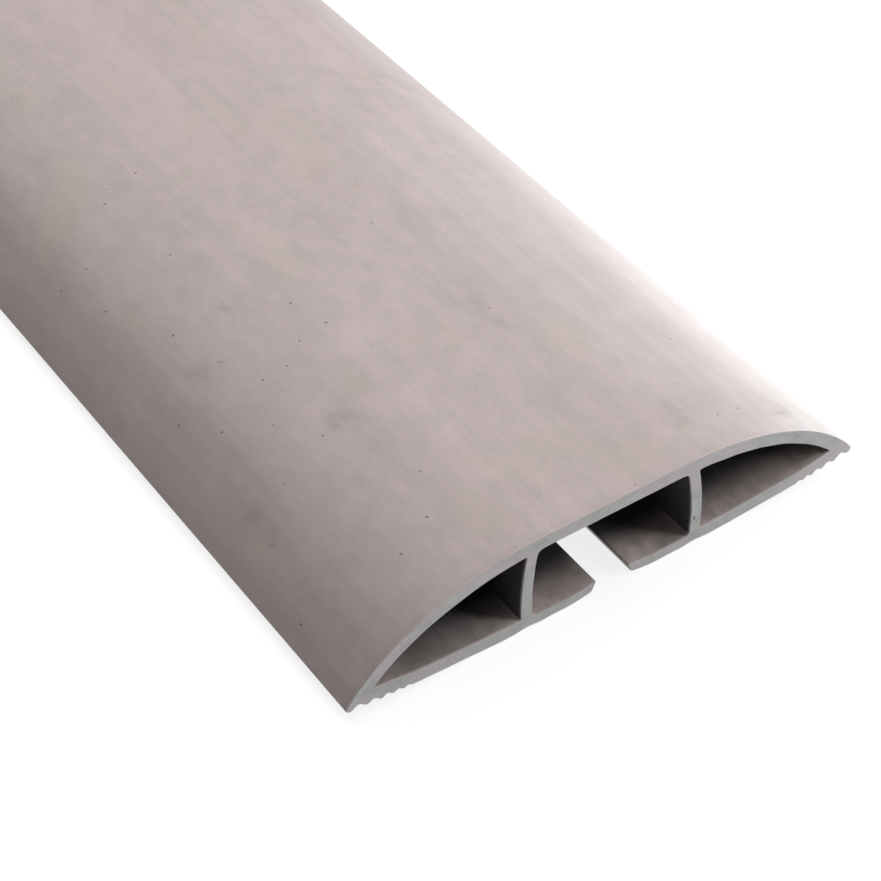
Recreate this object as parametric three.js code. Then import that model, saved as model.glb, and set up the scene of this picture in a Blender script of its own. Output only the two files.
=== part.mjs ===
// A floor cable duct: one extruded strip of soft plastic that covers the cables under it.
// A domed skin spans the whole width. Two webs below it stand beside the cable channel, which
// opens downwards through a slot between two flanges. A closed chamber lies on each side, and the
// skin runs out into a thin lip whose underside has grip grooves.
// Millimetres, +Z up. The section is drawn in X and Z, and the strip runs along Y.

import * as THREE from "three";

// Overall size
const length = 1000;
const width = 76;
const height = 14.3;

// Thickness of each wall
const skinWall = 2.0;
const webWall = 1.7;
const chamberFloorWall = 2.05;
const flangeWall = 1.55;

// Dome: a level crown, a shoulder and a flank that falls to the lip
const crownWidth = 18.3;
const flankAngle = 52;
const shoulderFullness = 0.43;
const flankFullness = 0.36;

// Cable channel between the webs, measured at their feet
const channelWidth = 23.5;
const webLean = 0.72;
const webBow = 0.35;
const channelTopFillet = 0.7;
const channelFootFillet = 0.8;
const chamberFillet = 0.35;

// Slot between the flanges, whose free edges turn up a little
const slotWidth = 4.6;
const slotEdgeSlant = 0.65;
const slotEdgeRadius = 0.3;
const flangeTipRise = 0.5;
const flangeTipRun = 4;

// Underside: a shallow sink mark under each web, a resting flat beyond it, and a rise to the lip
const sinkMarkDepth = 0.2;
const sinkMarkWidth = 4.4;
const restingFlat = 1.5;
const lipRise = 1.47;
const lipRiseCurve = 0.45;
const lipRadius = 0.6;

// Grip grooves below the lip: each next one inwards is narrower and shallower
const grooveCount = 5;
const lipGroovePitch = 2.3;
const lipGrooveDepth = 0.65;
const pitchShrink = 0.85;
const depthShrink = 0.8;

// Straight steps that stand for each curve
const domeSteps = 40;
const noseSteps = 4;
const grooveSteps = 8;
const riseSteps = 10;
const sinkMarkSteps = 8;
const webSteps = 8;
const filletSteps = 4;
const lipTurnSteps = 5;

// Places that follow from the sizes, in the right half of the section
const lipCentre = point(width / 2 - lipRadius, lipRise + lipRadius);
const ceiling = height - skinWall;
const webFoot = channelWidth / 2;
const sinkMarkCentre = webFoot + webWall / 2;
const sinkMarkInner = sinkMarkCentre - sinkMarkWidth / 2;
const sinkMarkOuter = sinkMarkCentre + sinkMarkWidth / 2;
const riseStart = sinkMarkOuter + restingFlat;
const grooveCrests = crestPlaces();
const innermostCrest = grooveCrests[grooveCount];
const flangeTip = slotWidth / 2 + slotEdgeSlant;
const innerSkin = skinUnderside();

function point(x, z) {
  return new THREE.Vector2(x, z);
}

// Numbers from 0 to 1 in equal steps.
function fractions(steps) {
  return Array.from({ length: steps + 1 }, (_, i) => i / steps);
}

// Where the crests between the grooves lie, from the lip inwards.
function crestPlaces() {
  const places = [lipCentre.x];
  for (let i = 0; i < grooveCount; i++) {
    places.push(places[i] - lipGroovePitch * pitchShrink ** i);
  }
  return places;
}

// The outer skin from the edge of the crown to the nose of the lip.
function domeCurve() {
  const fall = THREE.MathUtils.degToRad(flankAngle);
  const start = point(crownWidth / 2, height);
  const end = lipCentre.clone().add(point(Math.sin(fall), Math.cos(fall)).multiplyScalar(lipRadius));
  const span = end.x - start.x;
  const shoulder = point(start.x + span * shoulderFullness, height);
  const flank = point(Math.cos(fall), -Math.sin(fall)).multiplyScalar(-span * flankFullness).add(end);
  return new THREE.CubicBezierCurve(start, shoulder, flank, end);
}

// The nose of the lip, round from the flank to the lip's lowest line.
function lipNose() {
  const flankEnd = THREE.MathUtils.degToRad(90 - flankAngle);
  const turn = (from, to) => {
    const arc = new THREE.EllipseCurve(lipCentre.x, lipCentre.y, lipRadius, lipRadius, from, to, true);
    return arc.getPoints(noseSteps).slice(1);
  };
  return [...turn(flankEnd, 0), ...turn(0, -Math.PI / 2).slice(0, -1)];
}

// The dome's curve set in by the thickness of the skin.
function skinUnderside() {
  const dome = domeCurve();
  return fractions(domeSteps).map((t) => {
    const along = dome.getTangent(t);
    return dome.getPoint(t).add(point(along.y, -along.x).multiplyScalar(skinWall));
  });
}

// Height of the underside of the skin at a distance from the middle.
function skinUndersideAt(x) {
  const next = innerSkin.findIndex((p) => p.x > x);
  if (next < 1) return ceiling;
  const before = innerSkin[next - 1];
  const after = innerSkin[next];
  return THREE.MathUtils.mapLinear(x, before.x, after.x, before.y, after.y);
}

// Height of the underside beyond the resting flat, without its grooves.
function riseAt(x) {
  const t = Math.max(0, (x - riseStart) / (lipCentre.x - riseStart));
  return lipRise * ((1 - lipRiseCurve) * t + lipRiseCurve * t * t);
}

// Height of the top of the chamber's floor, which thickens above the grooves.
function chamberFloorAt(x) {
  const t = (x - innermostCrest) / (lipCentre.x - innermostCrest);
  return riseAt(x) + chamberFloorWall + lipGrooveDepth * THREE.MathUtils.clamp(t, 0, 1);
}

// The web's face towards the cable channel leans in at the top and bows out between.
function webFaceAt(z) {
  const t = (z - flangeWall) / (ceiling - flangeWall);
  return webFoot - webLean * t + 4 * webBow * t * (1 - t);
}

// A rounded corner, as points from one leg to the other.
function roundedCorner(before, corner, after, radius) {
  const leg = (towards) => {
    const way = towards.clone().sub(corner);
    return way.setLength(Math.min(radius, way.length() / 2)).add(corner);
  };
  return new THREE.QuadraticBezierCurve(leg(before), corner, leg(after)).getPoints(filletSteps);
}

// The grooves from the lip's lowest line inwards, up to the innermost crest.
function gripGrooves() {
  const points = [];
  for (let i = 0; i < grooveCount; i++) {
    const pitch = grooveCrests[i] - grooveCrests[i + 1];
    const depth = lipGrooveDepth * depthShrink ** i;
    for (const t of fractions(grooveSteps).slice(0, -1)) {
      const x = grooveCrests[i] - pitch * t;
      points.push(point(x, riseAt(x) + depth * Math.sin(Math.PI * t) ** 2));
    }
  }
  return points;
}

// The rise from the innermost crest back to the resting flat.
function risingUnderside() {
  return fractions(riseSteps).map((t) => {
    const x = THREE.MathUtils.lerp(innermostCrest, riseStart, t);
    return point(x, riseAt(x));
  });
}

// The shallow hollow that the web's foot draws into the underside as the plastic cools.
function sinkMark() {
  return fractions(sinkMarkSteps).map((t) => {
    const x = THREE.MathUtils.lerp(sinkMarkOuter, sinkMarkInner, t);
    return point(x, sinkMarkDepth * Math.sin(Math.PI * t) ** 2);
  });
}

// The flange's free edge: it turns up, and its rounded end slants into the slot.
function flangeEdge() {
  const turn = fractions(lipTurnSteps).map((t) => point(flangeTipRun * (1 - t), flangeTipRise * t * t));
  const below = turn.map((p) => point(flangeTip + p.x, p.y));
  const above = turn.map((p) => point(flangeTip + p.x, p.y + flangeWall)).reverse();
  const lowCorner = below.pop();
  above.shift();
  const highCorner = point(slotWidth / 2, flangeTipRise + flangeWall);
  return [
    ...below,
    ...roundedCorner(below.at(-1), lowCorner, highCorner, slotEdgeRadius),
    ...roundedCorner(lowCorner, highCorner, above[0], slotEdgeRadius),
    ...above,
  ];
}

// The channel's side from the flange up to the ceiling.
function channelSide() {
  const foot = point(webFoot, flangeWall);
  const top = point(webFaceAt(ceiling), skinUndersideAt(webFaceAt(ceiling)));
  const face = fractions(webSteps).slice(1, -1).map((t) => {
    const z = THREE.MathUtils.lerp(foot.y, top.y, t);
    return point(webFaceAt(z), z);
  });
  const middle = point(0, ceiling);
  return [
    ...roundedCorner(point(flangeTip + flangeTipRun, flangeWall), foot, face[0], channelFootFillet),
    ...face,
    ...roundedCorner(face.at(-1), top, middle, channelTopFillet),
    ...innerSkin.filter((p) => p.x < top.x - channelTopFillet).reverse(),
  ];
}

// The right half of the outline, from the crown round to the channel's ceiling.
function halfOutline() {
  return [
    ...domeCurve().getPoints(domeSteps),
    ...lipNose(),
    ...gripGrooves(),
    ...risingUnderside(),
    ...sinkMark(),
    ...flangeEdge(),
    ...channelSide(),
  ];
}

// The right chamber: its floor outwards, the skin's underside back, and the web's outer face.
function chamberOutline() {
  const outer = innerSkin.findIndex((p) => p.y < chamberFloorAt(p.x));
  const above = innerSkin[outer - 1];
  const below = innerSkin[outer];
  const clear = above.y - chamberFloorAt(above.x);
  const short = chamberFloorAt(below.x) - below.y;
  const tip = above.clone().lerp(below, clear / (clear + short));
  const foot = point(webFaceAt(chamberFloorWall) + webWall, chamberFloorWall);
  const topX = webFaceAt(ceiling) + webWall;
  const top = point(topX, skinUndersideAt(topX));
  const floor = fractions(riseSteps * 2).slice(1, -1).map((t) => {
    const x = THREE.MathUtils.lerp(foot.x, tip.x, t);
    return point(x, chamberFloorAt(x));
  });
  const roof = innerSkin.slice(0, outer).filter((p) => p.x > topX + chamberFillet).reverse();
  const face = fractions(webSteps).slice(1, -1).map((t) => {
    const z = THREE.MathUtils.lerp(top.y, foot.y, t);
    return point(webFaceAt(z) + webWall, z);
  });
  return [
    ...roundedCorner(face.at(-1), foot, floor[0], chamberFillet),
    ...floor,
    tip,
    ...roof,
    ...roundedCorner(roof.at(-1), top, face[0], chamberFillet),
    ...face,
  ];
}

// The same points on the left half, in the order that goes on round the section.
function mirrored(points) {
  return points.map((p) => point(-p.x, p.y)).reverse();
}

function ductSection() {
  const right = halfOutline();
  const section = new THREE.Shape([...right, ...mirrored(right)]);
  const chamber = chamberOutline();
  section.holes.push(new THREE.Path(chamber), new THREE.Path(mirrored(chamber)));
  return section;
}

function ductExtrusion() {
  const geometry = new THREE.ExtrudeGeometry(ductSection(), { depth: length, bevelEnabled: false });
  const softPlastic = new THREE.MeshStandardMaterial({ color: 0xa39894, roughness: 0.6, metalness: 0 });
  const mesh = new THREE.Mesh(geometry, softPlastic);
  mesh.name = "duct_extrusion";
  mesh.rotation.x = Math.PI / 2;
  mesh.position.y = length / 2;
  return mesh;
}

const duct = new THREE.Group();
duct.add(ductExtrusion());

export default duct;
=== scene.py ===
# %% [markdown]
# A floor cable duct, dressed for its picture. The real object is one long strip of soft plastic
# that is pushed through a die, so its section is the same from end to end: a domed skin, two webs,
# a cable channel that is open below, a closed chamber on each side and thin gripping lips.
# The solid model already has that section at its real size, so nothing is drawn again here. What
# the solid lacks is what a saw, a die and a floor do to it: broken edges, die lines, scuffs, dirt.

from math import cos, radians, sin

import bmesh
import bpy
from mathutils import Matrix, Quaternion, Vector, noise
from mathutils.bvhtree import BVHTree


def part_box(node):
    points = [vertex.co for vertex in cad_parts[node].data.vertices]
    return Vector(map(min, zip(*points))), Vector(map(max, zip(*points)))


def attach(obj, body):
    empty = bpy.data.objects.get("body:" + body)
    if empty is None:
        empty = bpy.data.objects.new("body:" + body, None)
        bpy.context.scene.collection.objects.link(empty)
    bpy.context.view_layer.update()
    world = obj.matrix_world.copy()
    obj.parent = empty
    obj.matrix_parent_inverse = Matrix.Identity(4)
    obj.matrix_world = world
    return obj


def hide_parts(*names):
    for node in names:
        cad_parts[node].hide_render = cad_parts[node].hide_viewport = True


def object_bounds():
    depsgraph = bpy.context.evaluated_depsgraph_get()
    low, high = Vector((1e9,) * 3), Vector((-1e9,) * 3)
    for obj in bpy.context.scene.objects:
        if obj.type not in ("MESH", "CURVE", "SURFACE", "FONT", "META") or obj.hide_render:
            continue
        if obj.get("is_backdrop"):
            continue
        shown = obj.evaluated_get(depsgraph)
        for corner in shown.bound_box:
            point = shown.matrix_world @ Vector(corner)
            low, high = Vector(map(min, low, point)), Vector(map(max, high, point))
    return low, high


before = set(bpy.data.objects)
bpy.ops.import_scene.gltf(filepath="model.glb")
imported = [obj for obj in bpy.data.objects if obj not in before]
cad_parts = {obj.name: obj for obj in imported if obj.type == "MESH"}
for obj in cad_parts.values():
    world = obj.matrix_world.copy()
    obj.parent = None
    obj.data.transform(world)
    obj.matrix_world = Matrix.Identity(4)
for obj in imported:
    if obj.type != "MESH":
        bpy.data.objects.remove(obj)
cad_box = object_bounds()
low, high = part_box("duct_extrusion")
MM = 0.001
near_end = Vector((0, low.y, low.z))
print("duct, metres:", [round(size, 4) for size in high - low])

# %% [markdown]
# The picture looks down on the near end from its left, through a long lens, so the two long edges
# run almost parallel. A camera is easiest to keep right when its place and the point that it looks
# at are given from the object, here from the middle of the near end's bottom line. The small roll
# is the photographer's own.

# %% Camera
CAMERA_FROM_END = Vector((-127.3, -153.8, 211.4)) * MM
AIM_FROM_END = Vector((-8.5, 24.0, 10.0)) * MM
CAMERA_ROLL = radians(-0.88)
LENS_MM = 98.0
SENSOR_MM = 36.0
NEAREST_SEEN = 10 * MM


def add_camera(place, aim, roll, lens):
    data = bpy.data.cameras.new("camera")
    data.lens = lens
    data.sensor_width = SENSOR_MM
    data.clip_start = NEAREST_SEEN
    camera = bpy.data.objects.new("camera", data)
    bpy.context.scene.collection.objects.link(camera)
    turn = (aim - place).to_track_quat("-Z", "Y") @ Quaternion((0, 0, 1), roll)
    camera.matrix_world = Matrix.LocRotScale(place, turn, None)
    bpy.context.scene.camera = camera
    return camera


camera = add_camera(near_end + CAMERA_FROM_END, near_end + AIM_FROM_END, CAMERA_ROLL, LENS_MM)
print("camera distance, metres:", round((camera.location - near_end).length, 3))

# %% [markdown]
# The walls come from a copy of the solid. Its triangles are merged and flat pairs are joined, so
# that each wall strip is one long face. The end caps come off, because a sawn end needs a broken
# edge all round, and that is easy to make on an open shell: its rim is pulled back a little,
# then extruded forwards and inwards.

# %% Walls of the strip
SKIN, SAWN, WALL, FLOOR = 0, 1, 2, 3
SAME_POINT = 0.001 * MM
CAP_FACING = 0.9
FLAT_ANGLE = radians(0.05)
RING_GAP = 50 * MM


def open_shell(node):
    bm = bmesh.new()
    bm.from_mesh(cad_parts[node].data)
    bmesh.ops.remove_doubles(bm, verts=bm.verts, dist=SAME_POINT)
    caps = [face for face in bm.faces if abs(face.normal.y) > CAP_FACING]
    bmesh.ops.delete(bm, geom=caps, context="FACES")
    bmesh.ops.dissolve_limit(bm, angle_limit=FLAT_ANGLE, verts=bm.verts, edges=bm.edges)
    return bm


def cut_into_rings(bm, length, gap):
    runs = [edge for edge in bm.edges if edge.calc_length() > length / 2]
    cuts = round(length / gap) - 1
    bmesh.ops.subdivide_edges(bm, edges=runs, cuts=cuts, use_grid_fill=True)


duct_bm = open_shell("duct_extrusion")
cut_into_rings(duct_bm, high.y - low.y, RING_GAP)
print("wall faces:", len(duct_bm.faces))

# %% [markdown]
# A saw leaves a soft plastic edge slightly broken, and that thin facet is the light line along the
# end of the dome. It is wider in one place than in the next, and the blade strays a little too, so
# the rim first gets a point at least every millimetre and a half. Two steps turn the corner. The
# face between is then filled as one sheet.

# %% Sawn ends
EDGE_BREAK = 0.16 * MM
EDGE_UNEVEN = 0.7
EDGE_UNEVEN_EVERY = 2.5 * MM
EDGE_TURN = ((0.6, 0.15), (0.4, 0.4))
SAW_WANDER = 0.12 * MM
SAW_WANDER_EVERY = 9 * MM
RIM_STEP = 1.5 * MM
RIM_WITHIN = 0.01 * MM
LAST_RING = 1.2 * MM


def rim_of(bm, y):
    rim = [edge for edge in bm.edges if edge.is_boundary]
    return [edge for edge in rim if all(abs(v.co.y - y) < RIM_WITHIN for v in edge.verts)]


def refine_rim(bm, y, outwards):
    whole = bm.verts[:] + bm.edges[:] + bm.faces[:]
    ring = Vector((0, y - outwards * LAST_RING, 0))
    bmesh.ops.bisect_plane(bm, geom=whole, plane_co=ring, plane_no=(0, 1, 0))
    for edge in rim_of(bm, y):
        cuts = int(edge.calc_length() / RIM_STEP)
        if cuts:
            bmesh.ops.subdivide_edges(bm, edges=[edge], cuts=cuts)


def break_at(v):
    """How wide the broken edge is at this point of the section."""
    return EDGE_BREAK * (1 + EDGE_UNEVEN * noise.noise(v.co / EDGE_UNEVEN_EVERY))


def stray_at(v):
    """How far the blade strayed into the strip at this point of the section."""
    return SAW_WANDER * (0.5 + 0.5 * noise.noise(v.co / SAW_WANDER_EVERY))


def saw_end(bm, y, outwards):
    """Breaks the rim at one end and fills it. Returns the faces of the sawn end."""
    refine_rim(bm, y, outwards)
    inward = bm.verts.layers.float_vector.new("inward")
    rim = rim_of(bm, y)
    bm.normal_update()
    for v in {v for edge in rim for v in edge.verts}:
        v[inward] = -Vector((v.normal.x, 0, v.normal.z)).normalized() * break_at(v)
        v.co.y -= outwards * (v[inward].length + stray_at(v))
    for forward, inside in EDGE_TURN:
        grown = bmesh.ops.extrude_edge_only(bm, edges=rim)["geom"]
        rim = [part for part in grown if isinstance(part, bmesh.types.BMEdge)]
        for v in (part for part in grown if isinstance(part, bmesh.types.BMVert)):
            v.co += v[inward] * inside
            v.co.y += outwards * forward * v[inward].length
    bm.verts.layers.float_vector.remove(inward)
    filled = bmesh.ops.triangle_fill(bm, edges=rim, use_beauty=True, normal=(0, outwards, 0))
    return [part for part in filled["geom"] if isinstance(part, bmesh.types.BMFace)]


sawn_faces = []
for end_y, outwards in ((low.y, -1), (high.y, 1)):
    sawn_faces += saw_end(duct_bm, end_y, outwards)
for face in sawn_faces:
    face.material_index = SAWN
print("sawn face pieces:", len(sawn_faces))

# %% [markdown]
# The chambers and the channel get materials of their own, with painted shade. A face belongs to
# such a hollow if a ray that leaves it squarely soon meets the duct again on the far side. Grooves
# under the lips would pass that test too, but they are too narrow: their rays are too short. The
# floors, which face up, are kept apart from the walls and roofs, because more painted light goes on
# them.

# %% Faces of the hollows
NARROWEST_HOLLOW = 1.2 * MM
WIDEST_HOLLOW = 30 * MM
FLOOR_TILT = 0.6
CLEAR_OF_FACE = 0.01 * MM
duct_tree = BVHTree.FromBMesh(duct_bm)


def faces_a_wall(face):
    start = face.calc_center_median() + face.normal * CLEAR_OF_FACE
    reach = duct_tree.ray_cast(start, face.normal, WIDEST_HOLLOW)[3]
    return reach is not None and reach > NARROWEST_HOLLOW


duct_bm.normal_update()
plain_faces = [face for face in duct_bm.faces if face.material_index == SKIN]
hollow_faces = [face for face in plain_faces if faces_a_wall(face)]
for face in hollow_faces:
    face.material_index = FLOOR if face.normal.z > FLOOR_TILT else WALL
print("faces in the hollows:", len(hollow_faces))

# %% [markdown]
# Round walls are shaded smooth, and true corners stay crisp: the rim of each sawn face, the corners
# of the chambers and the edges of the slot. The finished mesh stands for the solid, whose faceted
# skin would show in a low light.

# %% The finished piece
CRISP_ANGLE = radians(38)


def shade(bm):
    sawn = {face for face in bm.faces if face.material_index == SAWN}
    for face in bm.faces:
        face.smooth = face not in sawn
    for edge in bm.edges:
        at_saw = len([face for face in edge.link_faces if face in sawn]) == 1
        edge.smooth = not at_saw and edge.calc_face_angle(0) < CRISP_ANGLE


def finished(bm, name, materials):
    mesh = bpy.data.meshes.new(name)
    bm.to_mesh(mesh)
    bm.free()
    for material in materials:
        mesh.materials.append(material)
    piece = bpy.data.objects.new(name, mesh)
    bpy.context.scene.collection.objects.link(piece)
    return piece


print("open edges:", len([edge for edge in duct_bm.edges if edge.is_boundary]))
shade(duct_bm)

# %% [markdown]
# The finishes are built from a few kinds of node, so each kind gets a helper. Every pattern reads
# Object coordinates, which are metres in the duct's own frame, so a pattern's grain can be given as
# a real length, and it stays in the plastic from every side. Noise that is stretched along the strip
# makes the lines that a die draws.

# %% Node helpers
def new_material(name, roughness, specular):
    material = bpy.data.materials.new(name)
    material.use_nodes = True
    shader = material.node_tree.nodes["Principled BSDF"]
    shader.inputs["Specular IOR Level"].default_value = specular
    if roughness is not None:
        shader.inputs["Roughness"].default_value = roughness
    return material, material.node_tree, shader


def feed(socket, value):
    """Links a socket to another node's output, or sets it where the value is a plain one."""
    if isinstance(value, bpy.types.NodeSocket):
        socket.id_data.links.new(value, socket)
    else:
        socket.default_value = value


def place_in_duct(tree):
    return tree.nodes.new("ShaderNodeTexCoord").outputs["Object"]


def patches(tree, place, grain, detail=2.0):
    """Noise around 0.5. Its grain is how long a patch is along X, Y and Z."""
    stretch = tree.nodes.new("ShaderNodeMapping")
    feed(stretch.inputs["Vector"], place)
    stretch.inputs["Scale"].default_value = [1 / length for length in grain]
    cloud = tree.nodes.new("ShaderNodeTexNoise")
    feed(cloud.inputs["Vector"], stretch.outputs["Vector"])
    cloud.inputs["Scale"].default_value = 1
    cloud.inputs["Detail"].default_value = detail
    return cloud.outputs["Fac"]


def slope(tree, value, start, end, low=0.0, high=1.0):
    """Goes softly from low to high while the value goes from start to end."""
    node = tree.nodes.new("ShaderNodeMapRange")
    node.interpolation_type = "SMOOTHSTEP"
    for socket, setting in zip(node.inputs, (value, start, end, low, high)):
        feed(socket, setting)
    return node.outputs["Result"]


def calculate(tree, operation, *values):
    node = tree.nodes.new("ShaderNodeMath")
    node.operation = operation
    for socket, value in zip(node.inputs, values):
        feed(socket, value)
    return node.outputs["Value"]


def weighted_sum(tree, start, parts):
    total = start
    for value, weight in parts:
        total = calculate(tree, "MULTIPLY_ADD", value, weight, total)
    return total


def painted(tree, under, over, share):
    node = tree.nodes.new("ShaderNodeMix")
    node.data_type = "RGBA"
    for name, value in (("Factor_Float", share), ("A_Color", under), ("B_Color", over)):
        feed(next(socket for socket in node.inputs if socket.identifier == name), value)
    return next(socket for socket in node.outputs if socket.identifier == "Result_Color")


def relief(tree, height, depth, below=None):
    """Bump whose height runs over a real depth, laid over other bump where it is given."""
    node = tree.nodes.new("ShaderNodeBump")
    node.inputs["Distance"].default_value = depth
    feed(node.inputs["Height"], height)
    if below is not None:
        feed(node.inputs["Normal"], below)
    return node.outputs["Normal"]


# %% [markdown]
# Specks of soot sit in the skin of a real strip, and faint blots a millimetre wide lie between them.
# Voronoi cells give each one a place of its own, and a second random number per cell leaves most
# cells empty. The place is shaken first by fine noise, or else every speck would be a round dot.

# %% Specks and marks
SPECK_CELL, SPECK_REACH = 4 * MM, 0.25 * MM
BLOT_CELL, BLOT_REACH = 5 * MM, 0.8 * MM
SPECK_CORE = 0.3
MARK_CORE = 0.4
RAGGED_GRAIN = 0.4 * MM
RAGGED_REACH = 0.25 * MM
NOISE_MIDDLE = 0.5


def ragged(tree, place):
    """The same place, moved a little this way and that, which frays the outline of a mark."""
    shake = tree.nodes.new("ShaderNodeTexNoise")
    feed(shake.inputs["Vector"], place)
    shake.inputs["Scale"].default_value = 1 / RAGGED_GRAIN
    centred = tree.nodes.new("ShaderNodeVectorMath")
    centred.operation = "SUBTRACT"
    feed(centred.inputs[0], shake.outputs["Color"])
    centred.inputs[1].default_value = [NOISE_MIDDLE] * 3
    moved = tree.nodes.new("ShaderNodeVectorMath")
    moved.operation = "MULTIPLY_ADD"
    feed(moved.inputs[0], centred.outputs["Vector"])
    moved.inputs[1].default_value = [RAGGED_REACH] * 3
    feed(moved.inputs[2], place)
    return moved.outputs["Vector"]


def specks(tree, place, emptiness, cell=SPECK_CELL, reach=SPECK_REACH):
    cells = tree.nodes.new("ShaderNodeTexVoronoi")
    feed(cells.inputs["Vector"], place)
    cells.inputs["Scale"].default_value = 1 / cell
    dot = slope(tree, cells.outputs["Distance"], SPECK_CORE * reach / cell, reach / cell, 1, 0)
    chance = tree.nodes.new("ShaderNodeSeparateColor")
    feed(chance.inputs["Color"], cells.outputs["Color"])
    return calculate(tree, "MULTIPLY", dot, slope(tree, chance.outputs["Red"], emptiness, 1.0))


def mark(tree, place, centre, size, turn=0.0):
    """One in the middle of a mark and zero at its edge. The size is its width, length and depth."""
    fit = tree.nodes.new("ShaderNodeMapping")
    fit.vector_type = "TEXTURE"
    feed(fit.inputs["Vector"], place)
    fit.inputs["Location"].default_value = centre
    fit.inputs["Rotation"].default_value = (0, 0, turn)
    fit.inputs["Scale"].default_value = [length / 2 for length in size]
    reach = tree.nodes.new("ShaderNodeVectorMath")
    reach.operation = "LENGTH"
    feed(reach.inputs[0], fit.outputs["Vector"])
    return slope(tree, reach.outputs["Value"], MARK_CORE, 1.0, 1, 0)


# %% [markdown]
# Some marks are in known places on the strip. They are given in millimetres across it and along it
# from the near end, and a ray from above finds how high the skin is there. Next come the size of a
# speck, the width and length of a smudge, or the length, width and turn in degrees of a scratch.

# %% Marks in known places
CLEAR_ABOVE = 10 * MM
SPECKS_AT = (
    (-14.9, 88.3, 0.55), (-19.5, 88.3, 0.35), (-21.1, 85.9, 0.45), (-19.5, 70.9, 0.4), (-30, 70, 0.45),
    (5.3, 60.2, 0.4), (-26.2, 58.7, 0.5), (-12.2, 52.4, 0.5), (-10.6, 46.5, 0.5), (-15.1, 45.7, 0.4),
    (-22, 43.4, 0.45), (-18.6, 43.1, 0.45), (-32.4, 47, 0.45), (-29.5, 41, 0.4), (-21.4, 30.4, 0.4),
    (-15.8, 17.6, 0.4), (-19.1, 11.2, 0.45), (25, 21.2, 0.45), (19.8, 5.6, 0.4),
)
SMUDGES_AT = (
    (-12.5, 52, 7, 5), (-19, 88, 9, 7), (-10.5, 47, 6, 4), (14.5, 9.5, 9, 13), (-27, 51, 5, 9),
    (-20, 57, 5, 4), (-33, 28, 5, 14), (-18, 31, 6, 9), (7, 36, 4, 14), (-9, 9, 6, 6),
    (16.5, 9, 14, 8), (28.5, 5, 9, 6),
)
SCRATCHES_AT = (
    (-24.3, 50, 1.6, 0.3, -48), (-33.5, 23.1, 1.4, 0.35, -12), (28.5, 3.9, 3.4, 0.5, -6),
)


def on_skin(across, along):
    above = Vector((across * MM, low.y + along * MM, high.z + CLEAR_ABOVE))
    return duct_tree.ray_cast(above, Vector((0, 0, -1)))[0]


# %% [markdown]
# The outer skin is warm grey soft PVC with a satin sheen. Its tone is one number: clouds of
# pigment, fine lines along the strip and a fine grain are added up, and that number picks a colour
# between a deep and a pale grey. Smudges, specks and scratches are painted over it. The last tenths
# of a millimetre before a cut are painted pale: a painted highlight where the broken edge catches
# light.
# Four numbers in a row give a slope: where it starts and ends, and its value at each.

# %% Skin finish
SKIN_DEEP = (0.405, 0.332, 0.320, 1)
SKIN_PALE = (0.600, 0.492, 0.474, 1)
SKIN_YELLOWED = (0.520, 0.425, 0.375, 1)
SKIN_SMUDGE = (0.31, 0.248, 0.230, 1)
SKIN_SPECK = (0.16, 0.125, 0.112, 1)
# Painted highlight along the broken edge of each cut.
SKIN_EDGE_HIGHLIGHT = (0.62, 0.54, 0.52, 1)
EDGE_HIGHLIGHT_WIDTH = 0.4 * MM
SKIN_TONE_START = -0.85
SKIN_SPECULAR = 0.45
SKIN_ROUGHNESS = 0.36
LINES_ROUGHER, DIRT_ROUGHER = 0.15, 0.25
YELLOWED = (0.45, 0.75, 0, 0.3)
DIRT_HELD = (0.45, 0.70, 0.06, 0.42)
DIRT_DRIFTED = (0.45, 0.65, 0, 0.4)
BLOT_EMPTINESS, BLOT_SHARE = 0.2, 0.16
SPECK_EMPTINESS = 0.45
SCRATCH_SHARE = 0.6
GRAIN_DEPTH = 0.006 * MM
LINE_DEPTH = 0.010 * MM
WAVE_DEPTH = 0.12 * MM
SCRATCH_DEPTH = 0.05 * MM


def skin_tone(tree, place):
    """Also returns the lines, which the relief uses again."""
    lines = patches(tree, place, (1.1 * MM, 160 * MM, 1.1 * MM), 3)
    tone = weighted_sum(tree, SKIN_TONE_START, (
        (patches(tree, place, (45 * MM, 70 * MM, 45 * MM)), 0.35),
        (patches(tree, place, (7 * MM, 11 * MM, 7 * MM), 3), 0.5),
        (patches(tree, place, (2.2 * MM, 3.2 * MM, 2.2 * MM)), 0.55),
        (patches(tree, place, (4 * MM, 90 * MM, 4 * MM)), 0.5),
        (lines, 0.4),
        (patches(tree, place, (0.4 * MM, 0.5 * MM, 0.4 * MM)), 0.4),
    ))
    return tone, lines


def skin_smudges(tree, frayed):
    drifts = patches(tree, frayed, (30 * MM, 40 * MM, 30 * MM))
    dirt = patches(tree, frayed, (3.5 * MM, 4.5 * MM, 3.5 * MM), 4)
    held = slope(tree, dirt, *DIRT_HELD)
    blots = specks(tree, frayed, BLOT_EMPTINESS, BLOT_CELL, BLOT_REACH)
    total = calculate(tree, "MULTIPLY", held, slope(tree, drifts, *DIRT_DRIFTED))
    total = calculate(tree, "MAXIMUM", total, calculate(tree, "MULTIPLY", blots, BLOT_SHARE))
    for across, along, width, length in SMUDGES_AT:
        spot = mark(tree, frayed, on_skin(across, along), (width * MM, length * MM, width * MM))
        total = calculate(tree, "MAXIMUM", total, calculate(tree, "MULTIPLY", spot, held))
    return total


def skin_specks(tree, frayed):
    total = specks(tree, frayed, SPECK_EMPTINESS)
    for across, along, size in SPECKS_AT:
        spot = mark(tree, frayed, on_skin(across, along), [size * MM] * 3)
        total = calculate(tree, "MAXIMUM", total, spot)
    return total


def skin_scratches(tree, place):
    total = 0.0
    for across, along, length, width, turn in SCRATCHES_AT:
        size = (length * MM, width * MM, length * MM)
        line = mark(tree, place, on_skin(across, along), size, radians(turn))
        total = calculate(tree, "MAXIMUM", total, line)
    return calculate(tree, "MULTIPLY", total, SCRATCH_SHARE)


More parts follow.
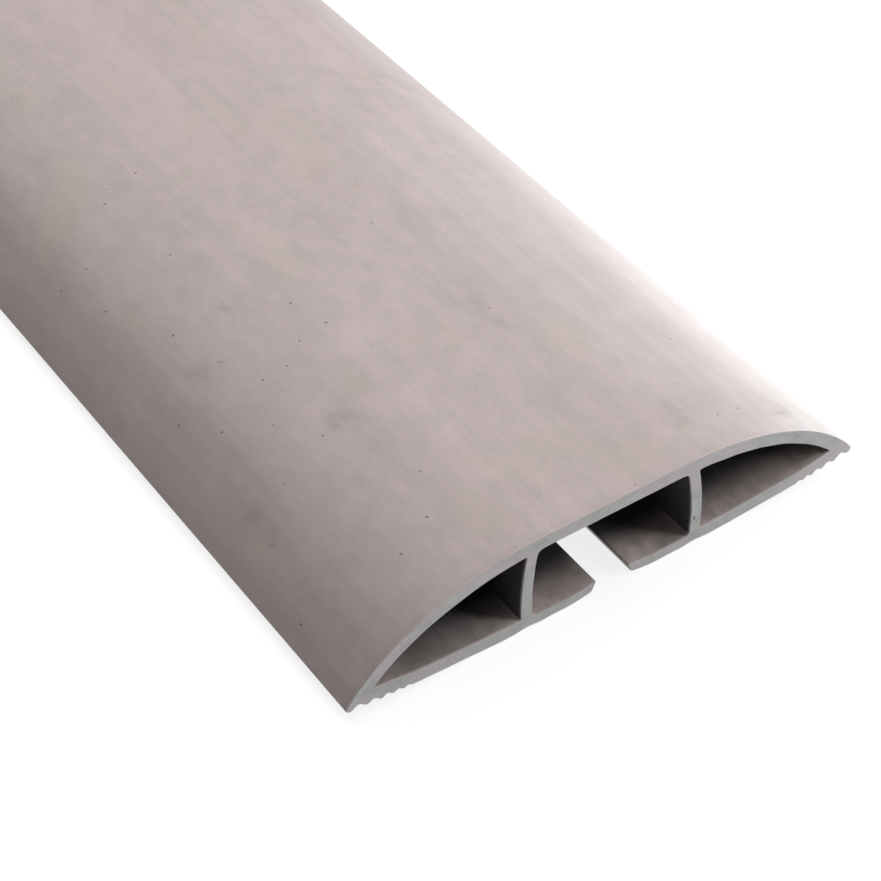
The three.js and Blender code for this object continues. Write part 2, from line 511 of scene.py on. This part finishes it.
def near_cut(tree, place, reach, full=EDGE_BREAK):
    """One from a sawn end to full behind it, and zero from reach behind it on."""
    axes = tree.nodes.new("ShaderNodeSeparateXYZ")
    feed(axes.inputs["Vector"], place)
    along = calculate(tree, "ABSOLUTE", axes.outputs["Y"])
    return slope(tree, along, high.y - reach, high.y - full)


def skin_plastic():
    material, tree, shader = new_material("soft_pvc_skin", None, SKIN_SPECULAR)
    place = place_in_duct(tree)
    frayed = ragged(tree, place)
    tone, lines = skin_tone(tree, place)
    dirt = skin_smudges(tree, frayed)
    scratch = skin_scratches(tree, frayed)
    aged = slope(tree, patches(tree, place, (13 * MM, 20 * MM, 13 * MM), 3), *YELLOWED)
    color = painted(tree, SKIN_DEEP, SKIN_PALE, tone)
    color = painted(tree, color, SKIN_YELLOWED, aged)
    color = painted(tree, color, SKIN_SMUDGE, dirt)
    color = painted(tree, color, SKIN_SMUDGE, scratch)
    color = painted(tree, color, SKIN_SPECK, skin_specks(tree, frayed))
    # Painted highlight along the cut edge.
    color = painted(tree, color, SKIN_EDGE_HIGHLIGHT, near_cut(tree, place, EDGE_HIGHLIGHT_WIDTH))
    feed(shader.inputs["Base Color"], color)
    rougher = ((lines, LINES_ROUGHER), (dirt, DIRT_ROUGHER))
    feed(shader.inputs["Roughness"], weighted_sum(tree, SKIN_ROUGHNESS, rougher))
    normal = relief(tree, patches(tree, place, (0.35 * MM, 0.45 * MM, 0.35 * MM)), GRAIN_DEPTH)
    normal = relief(tree, lines, LINE_DEPTH, normal)
    normal = relief(tree, patches(tree, place, (9 * MM, 14 * MM, 9 * MM)), WAVE_DEPTH, normal)
    feed(shader.inputs["Normal"], relief(tree, scratch, -SCRATCH_DEPTH, normal))
    return material


# %% [markdown]
# The sawn face shows the plastic's true colour, a cooler grey than the weathered skin. The blade
# left fine upright lines, and crumbs and oil make it slightly mottled and pinkish in places. It is
# matt.

# %% Sawn finish
SAWN_DEEP = (0.580, 0.585, 0.575, 1)
SAWN_PALE = (0.960, 0.955, 0.950, 1)
SAWN_PINKISH = (0.940, 0.830, 0.860, 1)
NICK_AT = Vector((12.4 * MM, low.y, 4.2 * MM))
NICK_SIZE = (0.35 * MM, 1 * MM, 0.9 * MM)
SAWN_TONE_START = -0.5
SAWN_ROUGHNESS, SAWN_SPECULAR = 0.62, 0.35
BLUSHED = (0.42, 0.62, 0, 0.5)
CRUMB_EMPTINESS = 0.6
SAW_LINE_DEPTH = 0.03 * MM
NICK_DEPTH = 0.08 * MM


def sawn_plastic():
    material, tree, shader = new_material("soft_pvc_sawn", SAWN_ROUGHNESS, SAWN_SPECULAR)
    place = place_in_duct(tree)
    saw_lines = patches(tree, place, (0.22 * MM, 3 * MM, 7 * MM), 2)
    tone = weighted_sum(tree, SAWN_TONE_START, (
        (saw_lines, 0.35),
        (patches(tree, place, (2.2 * MM, 2.2 * MM, 1.6 * MM), 4), 1.15),
        (patches(tree, place, (0.25 * MM, 0.25 * MM, 0.25 * MM)), 0.5),
    ))
    frayed = ragged(tree, place)
    nick = mark(tree, frayed, NICK_AT, NICK_SIZE)
    dirt = calculate(tree, "MAXIMUM", specks(tree, frayed, CRUMB_EMPTINESS), nick)
    blush = slope(tree, patches(tree, place, (9 * MM, 9 * MM, 3 * MM)), *BLUSHED)
    color = painted(tree, painted(tree, SAWN_DEEP, SAWN_PALE, tone), SAWN_PINKISH, blush)
    feed(shader.inputs["Base Color"], painted(tree, color, SKIN_SPECK, dirt))
    normal = relief(tree, saw_lines, SAW_LINE_DEPTH)
    feed(shader.inputs["Normal"], relief(tree, dirt, -NICK_DEPTH, normal))
    return material


# %% [markdown]
# Deep inside, the hollows are painted near black with a slight gloss: painted shade. Near each
# sawn end, painted light reaches in as a pale colour mottled like dust: it covers the floors for a
# few millimetres, thinner in some places than in others, and only a little goes on the walls and
# roofs. At the near end painted shadows thin it in the outer left hollow and beside the right web.
# Those two places are given in millimetres: how far across, how wide, how long, and what share of the
# painted light is missing.

# %% Painted light and shade in the hollows
# Painted shade: the near-black colour of the hollows deep inside.
HOLLOW_SHADE_DEEP = (0.056, 0.059, 0.059, 1)
HOLLOW_SHADE_PALE = (0.096, 0.100, 0.100, 1)
# Painted light near the sawn ends, a pale colour mottled like dust.
DUST_AND_LIGHT_DEEP = (0.560, 0.470, 0.450, 1)
DUST_AND_LIGHT_PALE = (0.800, 0.685, 0.655, 1)
PAINTED_LIGHT_REACH = 7 * MM
PAINTED_LIGHT_FULL = 1.5 * MM
PAINTED_LIGHT_ON_FLOORS = 1.0
PAINTED_LIGHT_ON_WALLS = 0.12
DUST_AND_LIGHT_EVEN = 0.75
DUST_AND_LIGHT_THIN, DUST_AND_LIGHT_THICK = 0.3, 0.6
# Painted shadows: two places where part of the painted light is taken away.
PAINTED_SHADOWS_AT = ((-23.5, 24, 40, 0.42), (10, 8, 8, 0.5))
HOLLOW_FLOOR = 2 * MM
HOLLOW_ROUGHNESS, HOLLOW_SPECULAR = 0.5, 0.3
HOLLOW_EMPTINESS = 0.3


def dust_and_painted_light(tree, place, most):
    """How much painted light, mottled like dust, lies at each place: none deep inside, and most at the
    thickest near a cut.
    """
    patchy = patches(tree, place, (1.6 * MM, 2.4 * MM, 1.6 * MM), 3)
    painted_share = slope(tree, patchy, DUST_AND_LIGHT_THIN, DUST_AND_LIGHT_THICK, DUST_AND_LIGHT_EVEN * most, most)
    # Each painted shadow takes its share of the painted light away.
    for across, width, length, shaded_share in PAINTED_SHADOWS_AT:
        centre = Vector((across * MM, low.y, low.z + HOLLOW_FLOOR))
        spot = mark(tree, place, centre, (width * MM, length * MM, width * MM))
        painted_share = calculate(tree, "MULTIPLY", painted_share, calculate(tree, "MULTIPLY_ADD", spot, -shaded_share, 1))
    return calculate(tree, "MULTIPLY", near_cut(tree, place, PAINTED_LIGHT_REACH, PAINTED_LIGHT_FULL), painted_share)


def hollow_with_painted_shade(name, most_painted_light):
    material, tree, shader = new_material(name, HOLLOW_ROUGHNESS, HOLLOW_SPECULAR)
    place = place_in_duct(tree)
    tone, lines = skin_tone(tree, place)
    dust_and_light = dust_and_painted_light(tree, place, most_painted_light)
    color = painted(tree, HOLLOW_SHADE_DEEP, HOLLOW_SHADE_PALE, tone)
    # Painted light near each cut, mottled like dust, over the painted shade deeper in.
    color = painted(tree, color, painted(tree, DUST_AND_LIGHT_DEEP, DUST_AND_LIGHT_PALE, tone), dust_and_light)
    color = painted(tree, color, SKIN_SPECK, specks(tree, ragged(tree, place), HOLLOW_EMPTINESS))
    # Painted highlight along the cut edge.
    color = painted(tree, color, SKIN_EDGE_HIGHLIGHT, near_cut(tree, place, EDGE_HIGHLIGHT_WIDTH))
    feed(shader.inputs["Base Color"], color)
    feed(shader.inputs["Normal"], relief(tree, lines, LINE_DEPTH))
    return material


# Both hollow materials hold painted shade deep inside and painted light near each cut.
hollow_walls_shade = hollow_with_painted_shade("soft_pvc_painted_shade_walls", PAINTED_LIGHT_ON_WALLS)
hollow_floors_light_and_shade = hollow_with_painted_shade("soft_pvc_painted_light_and_shade_floors", PAINTED_LIGHT_ON_FLOORS)
duct = finished(duct_bm, "cable_duct", [skin_plastic(), sawn_plastic(), hollow_walls_shade, hollow_floors_light_and_shade])
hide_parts("duct_extrusion")
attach(duct, "root")
print("duct triangles:", sum(len(face.vertices) - 2 for face in duct.data.polygons))

# %% [markdown]
# The strip lies on a plain pale floor. In the photograph the hollows are almost black, although
# everything around them is white, so little light came up from below. The floor does the same here:
# it is pale, with a faint shadow, for the camera and in the skin's sheen, which whitens the right
# flank, and for soft light that bounces it is a dark card.

# %% Floor
FLOOR_SIZE = 60.0
FLOOR_DROP = 0.05 * MM
FLOOR_SEEN = (0.36, 0.36, 0.36, 1)
FLOOR_BOUNCE = (0.22, 0.22, 0.22, 1)
FLOOR_GLOW = 0.82
FLOOR_ROUGHNESS, FLOOR_SPECULAR = 0.8, 0.2


def add_floor():
    bm = bmesh.new()
    bmesh.ops.create_grid(bm, x_segments=1, y_segments=1, size=FLOOR_SIZE / 2)
    bmesh.ops.translate(bm, vec=(0, 0, low.z - FLOOR_DROP), verts=bm.verts)
    material, tree, shader = new_material("pale_floor", FLOOR_ROUGHNESS, FLOOR_SPECULAR)
    ray = tree.nodes.new("ShaderNodeLightPath").outputs
    seen = calculate(tree, "MAXIMUM", ray["Is Camera Ray"], ray["Is Glossy Ray"])
    feed(shader.inputs["Base Color"], painted(tree, FLOOR_BOUNCE, FLOOR_SEEN, seen))
    shader.inputs["Emission Color"].default_value = (1, 1, 1, 1)
    feed(shader.inputs["Emission Strength"], calculate(tree, "MULTIPLY", seen, FLOOR_GLOW))
    floor = finished(bm, "floor", [material])
    floor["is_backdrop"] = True


add_floor()

# %% [markdown]
# Six softboxes light the near end. One is straight above and one is behind, and a third one at the
# back on the right makes the dome grow darker towards its left edge. Two at the front right open up
# the sawn face and reach the floors of the hollows, as far as the webs and the roofs let them. A
# small one close to the right flank almost burns it out, as in the photograph; it is left out of the
# sheen, or it would show in the skin as a bright spot. One more stands behind the far end, which the
# picture doesn't show, and a little even light from all round keeps every side readable.

# %% Lights
AIM_OF_LIGHTS = near_end + Vector((0, 40, 8)) * MM
RIGHT_FLANK = near_end + Vector((35, 28, 8)) * MM
FLANK_LIGHT = near_end + Vector((100, 28, 18)) * MM
COOL_WHITE = (0.78, 0.94, 1.0)
FAR_END = Vector((0, high.y, low.z + 8 * MM))
FAR_LIGHT = FAR_END + Vector((-250, 450, 200)) * MM
LIGHT_DISTANCE = 0.9
FILL, BACKDROP = 0.08, 0.87


def add_softbox(name, place, aim, size, power, color=(1, 1, 1)):
    data = bpy.data.lights.new(name, "AREA")
    data.shape = "RECTANGLE"
    data.size, data.size_y = size
    data.energy = power
    data.color = color
    box = bpy.data.objects.new(name, data)
    bpy.context.scene.collection.objects.link(box)
    turn = (aim - place).to_track_quat("-Z", "Y")
    box.matrix_world = Matrix.LocRotScale(place, turn, None)
    return box


def from_side(azimuth, elevation):
    """A place round the near end: azimuth 0 is to its right and 90 is behind it."""
    turn, rise = radians(azimuth), radians(elevation)
    way = Vector((cos(rise) * cos(turn), cos(rise) * sin(turn), sin(rise)))
    return AIM_OF_LIGHTS + way * LIGHT_DISTANCE


def set_world(fill, seen):
    """A weak even fill, which the camera sees as a pale backdrop above the floor."""
    world = bpy.data.worlds.new("studio")
    world.use_nodes = True
    tree = world.node_tree
    to_camera = tree.nodes.new("ShaderNodeLightPath").outputs["Is Camera Ray"]
    tree.nodes["Background"].inputs["Color"].default_value = (1, 1, 1, 1)
    strength = calculate(tree, "MULTIPLY_ADD", to_camera, seen - fill, fill)
    feed(tree.nodes["Background"].inputs["Strength"], strength)
    bpy.context.scene.world = world


set_world(FILL, BACKDROP)
add_softbox("top_softbox", from_side(0, 90), AIM_OF_LIGHTS, (0.6, 0.6), 2.05)
add_softbox("back_softbox", from_side(90, 45), AIM_OF_LIGHTS, (0.6, 0.6), 3.0)
add_softbox("right_softbox", from_side(45, 35), AIM_OF_LIGHTS, (0.5, 0.5), 2.35)
add_softbox("low_front_softbox", from_side(-42, 13), AIM_OF_LIGHTS, (0.25, 0.3), 2.6)
add_softbox("high_front_softbox", from_side(-35, 42), AIM_OF_LIGHTS, (0.3, 0.3), 1.05)
flank_box = add_softbox("flank_softbox", FLANK_LIGHT, RIGHT_FLANK, (0.04, 0.04), 0.075, COOL_WHITE)
flank_box.visible_glossy = False
add_softbox("far_end_softbox", FAR_LIGHT, FAR_END, (0.3, 0.3), 0.9)
bpy.context.scene.view_settings.view_transform = "Standard"

# %% Check the size
seen_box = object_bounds()
proud = [round((seen - cad) / MM, 3) for seen, cad in zip(seen_box[1], cad_box[1])]
print("stands proud of the solid, mm:", proud)
